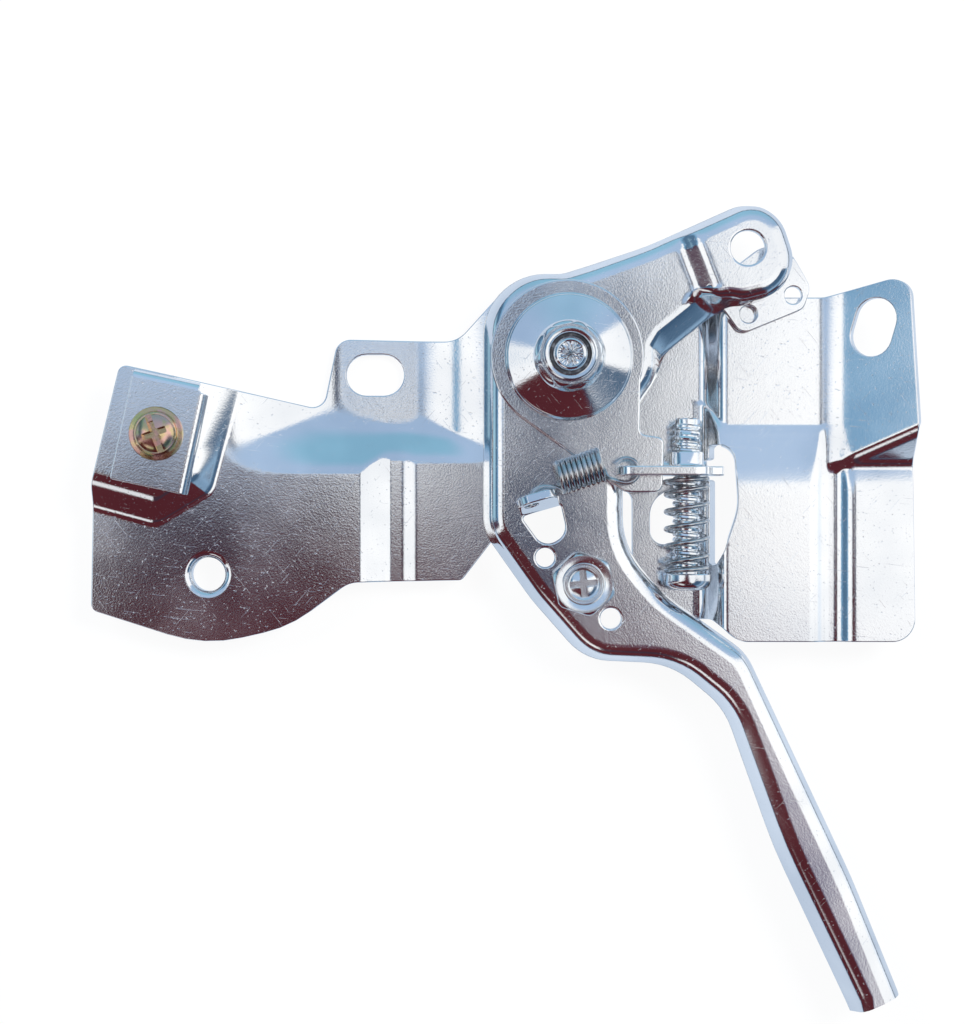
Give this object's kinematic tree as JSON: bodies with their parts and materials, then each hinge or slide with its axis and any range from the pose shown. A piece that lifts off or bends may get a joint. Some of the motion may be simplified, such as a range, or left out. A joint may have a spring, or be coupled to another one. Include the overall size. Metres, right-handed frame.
{
  "type": "throttle control assembly",
  "caption": "Stamped engine bracket with a pivoting throttle hand lever, governor arm, limit screw, return spring and cable clamp.",
  "frame": {"origin": "on the lever's pivot axis, at the top face of the bracket's middle web", "axes": "+Z along the pivot axis, away from the engine; +X towards the bracket's right wing; +Y towards the governor arm"},
  "size_m": [0.1448, 0.1415, 0.0218],
  "materials": {
    "zinc_plate": "bright zinc-plated stamped steel",
    "zinc_hardware": "bright zinc-plated turned steel",
    "yellow_zinc": "yellow-passivated zinc",
    "spring_steel": "bright spring wire",
    "nylon_ring": "dark locking ring"
  },
  "bodies": {
    "bracket": {"base_plate": "zinc_plate", "pivot_stud": "zinc_hardware", "cone_spring": "spring_steel", "spacer": "zinc_hardware", "tongue_washer": "zinc_plate", "lock_nut": "zinc_hardware", "nut_ring": "nylon_ring", "cable_clamp": "zinc_plate", "clamp_screw": "yellow_zinc", "limit_spring": "spring_steel", "return_spring": "spring_steel"},
    "lever": {"control_lever": "zinc_plate", "lever_bolt": "zinc_hardware"},
    "screw": {"limit_screw": "zinc_hardware"}
  },
  "joints": [
    {"name": "lever_turn", "type": "hinge", "parent": "bracket", "child": "lever", "pos_m": [0, 0, 0], "axis": [0, 0, 1], "range_deg": [-30, 0], "deforming": ["return_spring"]},
    {"name": "limit_screw_travel", "type": "slide", "parent": "bracket", "child": "screw", "axis": [0, 1, 0], "range_m": [-0.0004, 0.001], "deforming": ["limit_spring"]}
  ]
}
